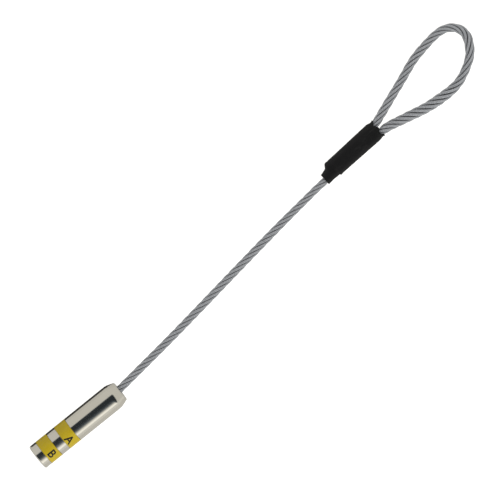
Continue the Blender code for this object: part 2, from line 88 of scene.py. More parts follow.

# %% [markdown]
# ## The rope's route
#
# A rope is a fixed length of something flexible, so its line comes before its surface. It starts
# in the ball inside the head, runs to the ferrule, turns round the eye and comes back beside
# itself. Each route point says where the rope's middle lies and how far its strands have opened
# there: a rope that is bent hard without a thimble loosens on its way round. A natural cubic
# spline through the listed points gives one smooth line, with no straight runs joined by arcs.

# %% Route points, in metres from the centre of the ball
BALL_CENTRE = Vector((0.02725, 0.0, AXIS_HEIGHT))
ROPE_RADIUS = 0.0032
PRESSED = 0.766
RUN_ROUTE = (
    (0.0, 0.0, PRESSED),
    (0.006, 0.00063, PRESSED),
    (0.009, 0.00093, 0.98),
    (0.020, 0.0021, 0.98),
    (0.062, 0.0066, 0.98),
    (0.118, 0.0136, 1.0),
    (0.174, 0.0207, 1.0),
    (0.200, 0.0237, 0.95),
    (0.215, 0.02525, 0.92),
    (0.229, 0.02665, 0.92),
    (0.2366, 0.0273, 0.92),
    (0.243, 0.02805, 0.86),
)
EYE_ROUTE = (
    (0.2926, 0.0298, 0.95),
    (0.298, 0.02945, 1.18),
    (0.309, 0.0273, 1.24),
    (0.320, 0.0248, 1.28),
    (0.332, 0.0222, 1.30),
    (0.3435, 0.0210, 1.36),
    (0.354, 0.0207, 1.28),
    (0.363, 0.0218, 1.15),
    (0.3705, 0.0246, 1.07),
    (0.3777, 0.0286, 1.07),
    (0.3837, 0.0334, 1.14),
    (0.3878, 0.0392, 1.20),
    (0.3904, 0.0454, 1.20),
    (0.3902, 0.0512, 1.14),
    (0.3872, 0.0564, 1.08),
    (0.3817, 0.0601, 1.05),
    (0.3745, 0.0614, 1.05),
    (0.3665, 0.0608, 1.06),
    (0.3568, 0.0592, 1.10),
    (0.3471, 0.0570, 1.08),
    (0.3342, 0.0521, 1.06),
    (0.320, 0.0468, 1.05),
    (0.3052, 0.0413, 1.07),
    (0.298, 0.0386, 1.06),
    (0.2926, 0.0366, 0.95),
)
FERRULE_START = Vector((0.249, 0.0306, 0.0))
FERRULE_END = Vector((0.2885, 0.0328, 0.0))
FERRULE_LENGTH = (FERRULE_END - FERRULE_START).length
FERRULE_AXIS = (FERRULE_END - FERRULE_START).normalized()
FERRULE_SIDE = Vector((-FERRULE_AXIS.y, FERRULE_AXIS.x, 0.0))
PASS_OFFSET = 0.0026
PASS_SHARES = (-0.02, 0.3, 0.7, 1.02)
DEAD_END = 0.0035


def ferrule_pass(side, shares):
    """Route points of one of the two passes through the ferrule."""
    points = []
    for share in shares:
        point = FERRULE_START.lerp(FERRULE_END, share) + FERRULE_SIDE * PASS_OFFSET * side
        points.append((point.x, point.y, PRESSED))
    return points


flat_route = (list(RUN_ROUTE) + ferrule_pass(-1, PASS_SHARES) + list(EYE_ROUTE)
              + ferrule_pass(1, PASS_SHARES[:0:-1] + (-DEAD_END / FERRULE_LENGTH,)))
print("route points:", len(flat_route))

# %% Heights along the route
SLEEVE_HEIGHT = 0.0048
EYE_TIP_X = 0.390
EYE_TIP_HEIGHT = 0.0042
SAG = 0.0007
ROPE_YAW = math.radians(6.0)
FRONT_LENGTH = 0.0046


def rope_height(x):
    """Height of the rope's middle: down from the head, level in the ferrule, lower at the eye."""
    if x < FERRULE_START.x:
        share = max(x, 0.0) / FERRULE_START.x
        slope = BALL_CENTRE.z + (SLEEVE_HEIGHT - BALL_CENTRE.z) * share
        return slope - 4 * SAG * share * (1 - share) * share
    if x < FERRULE_END.x:
        return SLEEVE_HEIGHT
    share = min(1.0, (x - FERRULE_END.x) / (EYE_TIP_X - FERRULE_END.x))
    ease = share * share * (3 - 2 * share)
    return SLEEVE_HEIGHT + (EYE_TIP_HEIGHT - SLEEVE_HEIGHT) * ease


route = [(BALL_CENTRE.x + x, y, rope_height(x), opened) for x, y, opened in flat_route]
dip = (BALL_CENTRE.z - SLEEVE_HEIGHT) / FERRULE_START.x
front = (route[0][0] - FRONT_LENGTH * math.cos(ROPE_YAW),
         route[0][1] - FRONT_LENGTH * math.sin(ROPE_YAW),
         route[0][2] + FRONT_LENGTH * dip, PRESSED)
route = np.array([front] + route)
print("lowest route point in mm:", round(1000 * route[:, 2].min(), 2))

# %% One smooth centre line


def natural_spline(values, places, wanted):
    """A natural cubic spline through values at places, read at the wanted places."""
    count = len(places)
    steps = np.diff(places)
    slopes = np.diff(values, axis=0) / steps[:, None]
    matrix = np.zeros((count, count))
    right = np.zeros((count, values.shape[1]))
    matrix[0, 0] = matrix[-1, -1] = 1.0
    for row in range(1, count - 1):
        matrix[row, row - 1] = steps[row - 1]
        matrix[row, row] = 2 * (steps[row - 1] + steps[row])
        matrix[row, row + 1] = steps[row]
        right[row] = 6 * (slopes[row] - slopes[row - 1])
    bends = np.linalg.solve(matrix, right)
    spans = np.clip(np.searchsorted(places, wanted, side="right") - 1, 0, count - 2)
    before = (places[spans + 1] - wanted)[:, None]
    after = (wanted - places[spans])[:, None]
    width = steps[spans][:, None]
    low, high = bends[spans], bends[spans + 1]
    return ((low * before ** 3 + high * after ** 3) / (6 * width)
            + (values[spans] / width - low * width / 6) * before
            + (values[spans + 1] / width - high * width / 6) * after)


LINE_STEP = 0.0015
route_places = np.concatenate(
    ([0.0], np.cumsum(np.linalg.norm(np.diff(route[:, :3], axis=0), axis=1))))
line_places = np.linspace(0.0, route_places[-1], round(route_places[-1] / LINE_STEP) + 1)
rope_line = natural_spline(route[:, :3], route_places, line_places)
rope_opened = np.interp(line_places, route_places, route[:, 3])
rope_length = float(np.linalg.norm(np.diff(rope_line, axis=0), axis=1).sum())
print("rope is", round(rope_length, 4), "m long, with", len(rope_line), "rings")

# %% [markdown]
# ## The wire rope
#
# A six-strand rope is six little ropes, each made of wires, wound right-handed round a core.
# Modelling each strand by hand would be hopeless, and a picture of twisted strands on a plain
# tube would look flat at its edges. The shape follows a rule, though: every strand is the same
# line, moved out from the middle and turned a little further at each step. Geometry Nodes say
# that rule once. The tree copies the route six times, winds each copy round the route, and
# sweeps a small flower-shaped outline along it, whose petals are the outer wires. The wires wind
# the other way round than the strands, as in regular lay, so they line up with the rope.

# %% Helpers that build node trees


def add_node(tree, kind, inputs=(), **settings):
    """Adds a node. inputs maps a socket's name or number to a value or to an output socket."""
    node = tree.nodes.new(kind)
    for key, value in settings.items():
        setattr(node, key, value)
    for key, value in dict(inputs).items():
        socket = node.inputs[key]
        if isinstance(value, bpy.types.NodeSocket):
            tree.links.new(value, socket)
        else:
            socket.default_value = value
    return node


def maths(tree, operation, *values, clamp=False):
    """The output of a Math node."""
    return add_node(tree, "ShaderNodeMath", dict(enumerate(values)),
                    operation=operation, use_clamp=clamp).outputs[0]


def ramp(tree, value, low, high, to_low=0.0, to_high=1.0):
    """A clamped straight-line map of a value."""
    return add_node(tree, "ShaderNodeMapRange",
                    {"Value": value, "From Min": low, "From Max": high,
                     "To Min": to_low, "To Max": to_high}).outputs[0]


def part_of(tree, vector):
    """The X, Y and Z of a vector."""
    return add_node(tree, "ShaderNodeSeparateXYZ", {0: vector}).outputs


def new_geometry_tree(name, sockets):
    """A geometry tree with a geometry input and output, and the named inputs."""
    tree = bpy.data.node_groups.new(name, "GeometryNodeTree")
    tree.interface.new_socket("Geometry", in_out="OUTPUT", socket_type="NodeSocketGeometry")
    tree.interface.new_socket("Geometry", in_out="INPUT", socket_type="NodeSocketGeometry")
    for socket_name, kind in sockets:
        tree.interface.new_socket(socket_name, in_out="INPUT", socket_type="NodeSocket" + kind)
    return tree, tree.nodes.new("NodeGroupInput").outputs


def finish_tree(tree, geometry, material):
    """Ends a geometry tree: smooth faces, real geometry and its material."""
    smooth = add_node(tree, "GeometryNodeSetShadeSmooth", {"Geometry": geometry}).outputs[0]
    real = add_node(tree, "GeometryNodeRealizeInstances", {"Geometry": smooth}).outputs[0]
    painted = add_node(tree, "GeometryNodeSetMaterial",
                       {"Geometry": real, "Material": material}).outputs[0]
    tree.links.new(painted, tree.nodes.new("NodeGroupOutput").inputs[0])
    return tree


def made_by_tree(name, start_mesh, tree, values):
    """Runs a geometry tree on a mesh and returns the result as a plain mesh."""
    carrier = link(name, start_mesh)
    modifier = carrier.modifiers.new("tree", "NODES")
    modifier.node_group = tree
    for item in tree.interface.items_tree:
        if item.in_out == "INPUT" and item.name in values:
            modifier[item.identifier] = values[item.name]
    graph = bpy.context.evaluated_depsgraph_get()
    result = bpy.data.meshes.new_from_object(
        carrier.evaluated_get(graph), preserve_all_data_layers=True, depsgraph=graph)
    result.name = name
    bpy.data.objects.remove(carrier, do_unlink=True)
    return result


def named(tree, name, kind="FLOAT"):
    """Reads a named attribute."""
    return add_node(tree, "GeometryNodeInputNamedAttribute", {"Name": name},
                    data_type=kind).outputs["Attribute"]


def stored(tree, geometry, name, value, kind="FLOAT"):
    """Stores a value on every point under a name."""
    return add_node(tree, "GeometryNodeStoreNamedAttribute",
                    {"Geometry": geometry, "Name": name, "Value": value},
                    data_type=kind, domain="POINT").outputs[0]


def scaled(tree, vector, scale):
    return add_node(tree, "ShaderNodeVectorMath", {0: vector, "Scale": scale},
                    operation="SCALE").outputs[0]


print("node helpers: add_node, maths, ramp, part_of, named, stored, scaled")

# %% A tree that winds strands round a route
FULL_TURN = 2 * math.pi
OUTLINE_POINTS_PER_WIRE = 3


def strand_tree():
    """Strands of wires, wound round a route that carries the attributes opened and turns."""
    tree, given = new_geometry_tree("wound strands", (
        ("Strands", "Int"), ("Rope radius", "Float"), ("Strand share", "Float"),
        ("Strand swell", "Float"), ("Wires", "Int"), ("Wire lay", "Float"),
        ("Wire depth", "Float"), ("Material", "Material")))
    route_curve = add_node(tree, "GeometryNodeMeshToCurve", {0: given["Geometry"]}).outputs[0]
    opened = named(tree, "opened")
    swollen = maths(tree, "MULTIPLY_ADD", maths(tree, "SUBTRACT", opened, 1.0),
                    given["Strand swell"], 1.0)
    share = maths(tree, "MINIMUM", opened, swollen)
    strand_radius = maths(tree, "MULTIPLY", maths(tree, "MULTIPLY", share, given["Rope radius"]),
                          given["Strand share"])
    outside = maths(tree, "MULTIPLY", opened, given["Rope radius"])
    offset = maths(tree, "SUBTRACT", outside, strand_radius)

    # the outline of one strand: a ring of wires, each with a low point and two high points
    points = maths(tree, "MULTIPLY", given["Wires"], OUTLINE_POINTS_PER_WIRE)
    circle = add_node(tree, "GeometryNodeCurvePrimitiveCircle",
                      {"Resolution": points, "Radius": 1.0}, mode="RADIUS").outputs["Curve"]
    index = add_node(tree, "GeometryNodeInputIndex").outputs[0]
    crest = maths(tree, "MINIMUM", maths(tree, "MODULO", index, OUTLINE_POINTS_PER_WIRE), 1.0)
    circle = stored(tree, circle, "crest", crest)
    low = maths(tree, "SUBTRACT", 1.0, given["Wire depth"])
    reach = maths(tree, "MULTIPLY_ADD", named(tree, "crest"), given["Wire depth"], low)
    place = add_node(tree, "GeometryNodeInputPosition").outputs[0]
    outline = add_node(tree, "GeometryNodeSetPosition",
                       {"Geometry": circle, "Position": scaled(tree, place, reach)}).outputs[0]

    # every point remembers the middle of the rope, to know later how far out it lies
    remembered = stored(tree, route_curve, "middle", place, "FLOAT_VECTOR")
    copies = add_node(tree, "GeometryNodeDuplicateElements",
                      {"Geometry": remembered, "Amount": given["Strands"]}, domain="SPLINE")
    step = maths(tree, "DIVIDE", copies.outputs["Duplicate Index"], given["Strands"])
    angle = maths(tree, "MULTIPLY", maths(tree, "ADD", step, named(tree, "turns")),
                  FULL_TURN)
    normal = add_node(tree, "GeometryNodeInputNormal").outputs[0]
    tangent = add_node(tree, "GeometryNodeInputTangent").outputs[0]
    turned_out = add_node(tree, "ShaderNodeVectorRotate",
                          {"Vector": normal, "Axis": tangent, "Angle": angle},
                          rotation_type="AXIS_ANGLE").outputs[0]
    wound = add_node(tree, "GeometryNodeSetPosition",
                     {"Geometry": copies.outputs["Geometry"],
                      "Offset": scaled(tree, turned_out, offset)}).outputs[0]

    def swept(curve, radius, way):
        """Sweeps the strand's outline along a curve, with its wires winding way round."""
        along = add_node(tree, "GeometryNodeSplineParameter").outputs["Length"]
        twist = maths(tree, "MULTIPLY", maths(tree, "DIVIDE", along, given["Wire lay"]),
                      way * FULL_TURN)
        curve = add_node(tree, "GeometryNodeSetCurveTilt",
                         {"Curve": curve, "Tilt": twist}).outputs[0]
        return add_node(tree, "GeometryNodeCurveToMesh",
                        {"Curve": curve, "Profile Curve": outline, "Scale": radius,
                         "Fill Caps": True}).outputs[0]

    core_radius = maths(tree, "SUBTRACT", offset, strand_radius)
    join = tree.nodes.new("GeometryNodeJoinGeometry")
    tree.links.new(swept(wound, strand_radius, -1), join.inputs[0])
    tree.links.new(swept(remembered, core_radius, 1), join.inputs[0])

    distance = add_node(tree, "ShaderNodeVectorMath",
                        {0: place, 1: named(tree, "middle", "FLOAT_VECTOR")},
                        operation="DISTANCE").outputs["Value"]
    marked = stored(tree, join.outputs[0], "outward", maths(tree, "DIVIDE", distance, outside))
    return finish_tree(tree, marked, given["Material"])


print("a strand's outline has", OUTLINE_POINTS_PER_WIRE, "points for each wire")

# %% Wind the rope
galvanised = bpy.data.materials.new("galvanised_wire")
# length along the rope, and how far the strands go for one turn: shorter where it has opened
LAY_ALONG = ((0.0, 0.0444), (0.26, 0.0444), (0.30, 0.0400), (0.35, 0.0400), (0.38, 0.0530),
             (0.41, 0.0500), (0.43, 0.0440), (0.46, 0.0465), (0.57, 0.0465))
FIRST_TURN = 0.1
STRANDS, OUTER_WIRES = 6, 12
STRAND_SHARE = 0.322  # a strand's radius as a share of the rope's
STRAND_SWELL = 0.6  # how much of the rope's opening its strands take up
WIRE_LAY = 0.0165
WIRE_DEPTH = 0.17  # how deep the grooves between wires are, as a share of the strand's radius

lay_places, lays = np.array(LAY_ALONG).T
turns_per_step = np.diff(line_places) / np.interp(line_places[1:], lay_places, lays)
rope_turns = FIRST_TURN + np.concatenate(([0.0], np.cumsum(turns_per_step)))

route_mesh = bpy.data.meshes.new("route")
route_mesh.from_pydata(rope_line.tolist(), [(i, i + 1) for i in range(len(rope_line) - 1)], [])
for attribute_name, attribute_values in (("opened", rope_opened), ("turns", rope_turns)):
    attribute = route_mesh.attributes.new(attribute_name, "FLOAT", "POINT")
    attribute.data.foreach_set("value", attribute_values.astype(np.float32))

rope_mesh = made_by_tree("rope_strands", route_mesh, strand_tree(), {
    "Strands": STRANDS, "Rope radius": ROPE_RADIUS, "Strand share": STRAND_SHARE,
    "Strand swell": STRAND_SWELL, "Wires": OUTER_WIRES, "Wire lay": WIRE_LAY,
    "Wire depth": WIRE_DEPTH, "Material": galvanised})
rope_mesh.attributes.remove(rope_mesh.attributes["middle"])
rope = link("rope_strands", rope_mesh)
print("rope faces:", len(rope_mesh.polygons))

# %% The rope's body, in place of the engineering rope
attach(rope, "rope_and_eye")
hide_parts("wire_rope")

# %% [markdown]
# ## Turned steel: the head
#
# The head is turned from bar on a lathe: a straight barrel, a tapered shoulder, a chamfered bore
# and a small round on every outer edge. A lathe makes it by turning one outline, and so does the
# code here. The outline is a list of points, each a distance along the head and a radius, and
# the helper spins it about the head's own line with 192 steps, fine enough that a highlight
# stays straight. The two cross holes are cut afterwards by a threaded tool, like a tap.

# %% Helpers that turn an outline
HEAD_STEPS = 192


def mesh_from(solid, name):
    """A mesh from a bmesh, with its faces turned outwards."""
    bmesh.ops.recalc_face_normals(solid, faces=solid.faces)
    mesh = bpy.data.meshes.new(name)
    solid.to_mesh(mesh)
    solid.free()
    return mesh


def turned(name, outline, steps=HEAD_STEPS):
    """Turns a closed outline of (x, radius) about the head's own line."""
    solid = bmesh.new()
    rings = []
    for x, radius in outline:
        if radius == 0.0:
            rings.append([solid.verts.new((x, 0.0, AXIS_HEIGHT))] * steps)
            continue
        ring = []
        for step in range(steps):
            angle = FULL_TURN * step / steps
            ring.append(solid.verts.new((x, radius * math.sin(angle),
                                         AXIS_HEIGHT + radius * math.cos(angle))))
        rings.append(ring)
    for first, second in zip(rings, rings[1:] + rings[:1]):
        for step in range(steps):
            after = (step + 1) % steps
            corners = (first[step], first[after], second[after], second[step])
            corners = list(dict.fromkeys(corners))
            if len(corners) > 2:
                solid.faces.new(corners)
    return mesh_from(solid, name)


def arc(x, radius, size, start, end, count=6):
    """Outline points on an arc about (x, radius). 0 degrees points along +X and 90 outwards."""
    points = []
    for index in range(count + 1):
        angle = math.radians(start + (end - start) * index / count)
        points.append((x + size * math.cos(angle), radius + size * math.sin(angle)))
    return points


def dress(piece, material, sharp_angle=32):
    """Shades a piece smooth but for its sharp edges, and gives it one material."""
    piece.data.shade_smooth()
    piece.data.set_sharp_from_angle(angle=math.radians(sharp_angle))
    piece.data.materials.clear()
    piece.data.materials.append(material)


print("turning with", HEAD_STEPS, "steps")

# %% The head's outline
MOUTH_X, BACK_X = head_low.x, head_high.x
HEAD_RADIUS = (head_high.z - head_low.z) / 2
BORE_RADIUS = 0.0065
GROOVE_RADIUS = 0.0095
BAND_WIDTH = 0.0102
BAND_GAP = 0.0003
EDGE_ROUND = 0.0009
LIP_ROUND = 0.0007
SHOULDER_LENGTH = 0.0070
SHOULDER_INSET = 0.0020
ROPE_HOLE_RADIUS = 0.00527
SEAT_RADIUS = 0.0065
SEAT_ANGLES = (52, 42, 30, 18, 6, 0)
THROAT_EASE = (0.0004, 0.0002)  # the small step between the rope's hole and the ball's seat
GROOVE_EASE = 0.0001
SHOULDER_ROUND = 0.012
SHOULDER_STEPS = 10
BORE_CHAMFER = 0.0010
HOLD = 0.0003  # an extra ring this far from a bend keeps the long faces' shading straight
BAND_STARTS = {"a": MOUTH_X + 0.0243, "b": MOUTH_X + 0.0064}


def groove(start):
    """The shallow groove that a label band lies in, its corners eased."""
    near, far = start - BAND_GAP / 2, start + BAND_WIDTH + BAND_GAP / 2
    ease = GROOVE_EASE
    return [(near - ease - HOLD, HEAD_RADIUS), (near - ease, HEAD_RADIUS),
            (near, HEAD_RADIUS - ease), (near, GROOVE_RADIUS),
            (far, GROOVE_RADIUS), (far, HEAD_RADIUS - ease),
            (far + ease, HEAD_RADIUS), (far + ease + HOLD, HEAD_RADIUS)]


slope = math.degrees(math.atan2(SHOULDER_INSET, SHOULDER_LENGTH))
shoulder_radius = HEAD_RADIUS - SHOULDER_INSET
seat = [(BALL_CENTRE.x + SEAT_RADIUS * math.sin(math.radians(angle)),
         SEAT_RADIUS * math.cos(math.radians(angle))) for angle in SEAT_ANGLES]
head_outline = arc(MOUTH_X + EDGE_ROUND, HEAD_RADIUS - EDGE_ROUND, EDGE_ROUND, 180, 90)
head_outline += [(MOUTH_X + EDGE_ROUND + HOLD, HEAD_RADIUS)]
head_outline += groove(BAND_STARTS["b"]) + groove(BAND_STARTS["a"])
bend_x = BACK_X - SHOULDER_LENGTH - SHOULDER_ROUND * math.tan(math.radians(slope / 2))
head_outline += [(bend_x - HOLD, HEAD_RADIUS)]
head_outline += arc(bend_x, HEAD_RADIUS - SHOULDER_ROUND, SHOULDER_ROUND, 90, 90 - slope,
                    SHOULDER_STEPS)
head_outline += arc(BACK_X - EDGE_ROUND, shoulder_radius - EDGE_ROUND, EDGE_ROUND,
                    90 - slope, 0)
head_outline += arc(BACK_X - LIP_ROUND, ROPE_HOLE_RADIUS + LIP_ROUND, LIP_ROUND, 0, -90)
head_outline += [(seat[0][0] + THROAT_EASE[0], seat[0][1] + THROAT_EASE[1])] + seat
head_outline += [(MOUTH_X + BORE_CHAMFER + GROOVE_EASE, BORE_RADIUS),
                 (MOUTH_X + GROOVE_EASE, BORE_RADIUS + BORE_CHAMFER),
                 (MOUTH_X, BORE_RADIUS + BORE_CHAMFER + 2 * GROOVE_EASE)]
head = link("head_turned", turned("head_turned", head_outline))
print("head outline points:", len(head_outline))

# %% [markdown]
# ## Threads
#
# A 1/4 in set screw carries a fine helical ridge. Its surface follows a rule too: the radius at
# any place depends on the height and on the angle, so that one turn lifts the ridge by one
# pitch. One small Geometry Nodes tree makes a threaded plug from its radius, length and pitch.
# It serves twice: with a socket cut in it as the set screw, and a little larger as the tap that
# cuts the hole. The hole's ridges stand clear of the screw's, so the screw can travel.

# %% A tree that makes a threaded plug
PLUG_SIDES = 64
ROOT_FLAT, CREST_FLAT = 0.12, 0.88  # where the ridge's slope starts and ends


def plug_tree():
    """A threaded cylinder about Z, from the places of a plain one."""
    tree, given = new_geometry_tree("threaded plug", (
        ("Radius", "Float"), ("Length", "Float"), ("Pitch", "Float"), ("Depth", "Float"),
        ("Chamfer", "Float"), ("Rings", "Int"), ("Material", "Material")))
    plain = add_node(tree, "GeometryNodeMeshCylinder",
                     {"Vertices": PLUG_SIDES, "Side Segments": given["Rings"],
                      "Radius": given["Radius"], "Depth": given["Length"]},
                     fill_type="TRIANGLE_FAN").outputs["Mesh"]
    place = add_node(tree, "GeometryNodeInputPosition").outputs[0]
    split = part_of(tree, place)
    angle = maths(tree, "DIVIDE", maths(tree, "ARCTAN2", split["Y"], split["X"]), FULL_TURN)
    climb = maths(tree, "SUBTRACT", maths(tree, "DIVIDE", split["Z"], given["Pitch"]), angle)
    phase = maths(tree, "FRACT", climb)
    wave = maths(tree, "ABSOLUTE", maths(tree, "MULTIPLY_ADD", phase, 2.0, -1.0))
    ridge = ramp(tree, wave, ROOT_FLAT, CREST_FLAT)
    cut_in = maths(tree, "MULTIPLY", maths(tree, "SUBTRACT", 1.0, ridge), given["Depth"])
    radius = maths(tree, "SUBTRACT", given["Radius"], cut_in)
    from_end = maths(tree, "SUBTRACT", maths(tree, "MULTIPLY", given["Length"], 0.5),
                     maths(tree, "ABSOLUTE", split["Z"]))
    chamfered = maths(tree, "ADD", maths(tree, "SUBTRACT", given["Radius"], given["Chamfer"]),
                      from_end)
    radius = maths(tree, "MINIMUM", radius, chamfered)
    share = maths(tree, "DIVIDE", radius, given["Radius"])
    flat = add_node(tree, "ShaderNodeCombineXYZ", {0: share, 1: share, 2: 1.0}).outputs[0]
    moved = add_node(tree, "ShaderNodeVectorMath", {0: place, 1: flat},
                     operation="MULTIPLY").outputs[0]
    shaped = add_node(tree, "GeometryNodeSetPosition",
                      {"Geometry": plain, "Position": moved}).outputs[0]
    return finish_tree(tree, shaped, given["Material"])


threads = plug_tree()
print("threaded plug has", PLUG_SIDES, "sides")

# %% Cut the cross holes
SCREW_RADIUS = 0.003175
SCREW_LENGTH = 0.00635
SCREW_SINK = 0.0004
SCREW_ANGLE = math.radians(120)
PITCH = 0.00127
THREAD_RINGS = 56
screw_out = Vector((0.0, -math.sin(SCREW_ANGLE), math.cos(SCREW_ANGLE)))
screw_turn = screw_out.to_track_quat("Z", "X").to_matrix().to_4x4()
plated = bpy.data.materials.new("bright_plated_steel")
black_oxide = bpy.data.materials.new("black_oxide_steel")


def at_screw(letter, out):
    """Places a thing made about Z on a set screw's line, its middle a distance out."""
    middle = Vector((BAND_STARTS[letter] + BAND_WIDTH / 2, 0.0, AXIS_HEIGHT)) + screw_out * out
    return Matrix.Translation(middle) @ screw_turn


def cone_mesh(name, low_radius, high_radius, length, sides=64):
    solid = bmesh.new()
    bmesh.ops.create_cone(solid, cap_ends=True, segments=sides, radius1=low_radius,
                          radius2=high_radius, depth=length)
    return mesh_from(solid, name)


def cut(piece, tool_mesh):
    """Cuts a tool's shape out of a piece, and removes the tool."""
    tool = link("tool", tool_mesh)
    modifier = piece.modifiers.new("cut", "BOOLEAN")
    modifier.operation, modifier.solver, modifier.object = "DIFFERENCE", "EXACT", tool
    graph = bpy.context.evaluated_depsgraph_get()
    result = bpy.data.meshes.new_from_object(piece.evaluated_get(graph))
    piece.modifiers.remove(modifier)
    bpy.data.objects.remove(tool, do_unlink=True)
    result.name = piece.name
    piece.data = result


TAP_RADIUS = SCREW_RADIUS + 0.00045
TAP_DEPTH = 0.00035
TAP_LENGTH = 0.0080
TAP_INTO_BORE = 0.0015
COUNTERSINK = (0.0034, 0.0040, 0.0006)  # low radius, high radius, depth
COUNTERSINK_BELOW = 0.0001
for letter in BAND_STARTS:
    tap = made_by_tree("tap", bpy.data.meshes.new("start"), threads, {
        "Radius": TAP_RADIUS, "Length": TAP_LENGTH, "Pitch": PITCH, "Depth": TAP_DEPTH,
        "Chamfer": 0.0, "Rings": THREAD_RINGS, "Material": plated})
    tap.transform(at_screw(letter, BORE_RADIUS + TAP_LENGTH / 2 - TAP_INTO_BORE))
    cut(head, tap)
    mouth = cone_mesh("mouth", *COUNTERSINK)
    mouth.transform(at_screw(letter, GROOVE_RADIUS - COUNTERSINK_BELOW))
    cut(head, mouth)
dress(head, plated)
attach(head, "head")
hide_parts("head_body")
print("head faces:", len(head.data.polygons))

# %% The set screws
SOCKET_ACROSS_FLATS = 0.003175
SOCKET_DEPTH = 0.0030
SCREW_CHAMFER = 0.0005
THREAD_DEPTH = 0.0006
CUP_RADIUS, CUP_DEPTH = 0.0032, 0.0007
LEAD_SHARES, LEAD_DEPTH = (0.75, 1.25), 0.0008  # the socket's bevelled edge
corner = SOCKET_ACROSS_FLATS / 2 / math.cos(math.radians(30))
screw_tools = (  # name, low and high radius, depth, sides, and the end of the screw it cuts
    ("socket", corner, corner, 2 * SOCKET_DEPTH, 6, 1),
    ("lead", corner * LEAD_SHARES[0], corner * LEAD_SHARES[1], LEAD_DEPTH, 64, 1),
    ("cup", CUP_RADIUS, 0.0, 2 * CUP_DEPTH, 64, -1))
for letter in BAND_STARTS:
    screw_mesh = made_by_tree("set_screw", bpy.data.meshes.new("start"), threads, {
        "Radius": SCREW_RADIUS, "Length": SCREW_LENGTH, "Pitch": PITCH, "Depth": THREAD_DEPTH,
        "Chamfer": SCREW_CHAMFER, "Rings": THREAD_RINGS, "Material": black_oxide})
    screw = link("set_screw_" + letter + "_threaded", screw_mesh)
    for tool_name, low_radius, high_radius, depth, sides, end in screw_tools:
        tool = cone_mesh(tool_name, low_radius, high_radius, depth, sides)
        tool.transform(Matrix.Translation((0.0, 0.0, end * SCREW_LENGTH / 2)))
        cut(screw, tool)
    screw.data.transform(at_screw(letter, HEAD_RADIUS - SCREW_SINK - SCREW_LENGTH / 2))
    dress(screw, black_oxide, 40)
    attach(screw, "screw_" + letter)
    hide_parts("set_screw_" + letter)
    print("set screw", letter, "faces:", len(screw.data.polygons))

# %% [markdown]
# ## Label bands
#
# Each set screw is marked by a glossy yellow label that wraps the head in a shallow groove, so
# the barrel stays smooth where it passes through conduit. Band A is the screw that is tightened
# first and band B the second. A band is a thin turned ring with a punched hole over its screw.

# %% Turn the bands
BAND_THICKNESS = 0.0005
BAND_STEP = 0.0005
BAND_EASE = 0.00006
PUNCH_RADIUS, PUNCH_DEPTH, PUNCH_SIDES = 0.0041, 0.003, 96
yellow = bpy.data.materials.new("yellow_label_film")
outside, inside = HEAD_RADIUS, HEAD_RADIUS - BAND_THICKNESS
for letter, start in BAND_STARTS.items():
    count = round(BAND_WIDTH / BAND_STEP)
    outline = [(start, outside - BAND_EASE)]
    outline += [(start + BAND_EASE + (BAND_WIDTH - 2 * BAND_EASE) * i / count, outside)
                for i in range(count + 1)]
    outline += [(start + BAND_WIDTH, outside - BAND_EASE), (start + BAND_WIDTH, inside),
                (start, inside)]
    band = link("label_band_" + letter, turned("label_band", outline))
    punch = cone_mesh("punch", PUNCH_RADIUS, PUNCH_RADIUS, PUNCH_DEPTH, PUNCH_SIDES)
    punch.transform(at_screw(letter, HEAD_RADIUS))
    cut(band, punch)
    dress(band, yellow)
    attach(band, "head")
    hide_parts("band_" + letter)
    print("band", letter, "starts", round(1000 * (start - MOUTH_X), 1), "mm from the mouth")

# %% [markdown]
# ## Letters
#
# The letters are black print on the film. A text object is flat, and a flat letter laid on a
# barrel this narrow would sink in at its middle and stand off at its sides. So the text becomes a
# mesh, is sliced into strips as wide as the barrel's own facets, and each point is then wrapped
# round: its sideways place becomes an angle and its height a place along the head.

# %% Print the letters
CAP_HEIGHT = 0.0067
PRINT_THICKNESS = 0.00004
STROKE_SPREAD = 0.020
LETTER_PLACES = {"a": (MOUTH_X + 0.0283, math.radians(26.0)),
                 "b": (MOUTH_X + 0.0112, math.radians(27.5))}
ink = bpy.data.materials.new("black_print")


def letter_mesh(text):
    """A letter as a flat mesh, centred, with its capitals CAP_HEIGHT tall."""
    data = bpy.data.curves.new("text", "FONT")
    data.body = text
    data.extrude = PRINT_THICKNESS / 2
    data.offset = STROKE_SPREAD
    data.resolution_u = 6
    holder = link("text", data)
    graph = bpy.context.evaluated_depsgraph_get()
    flat = bpy.data.meshes.new_from_object(holder.evaluated_get(graph))
    bpy.data.objects.remove(holder, do_unlink=True)
    return flat


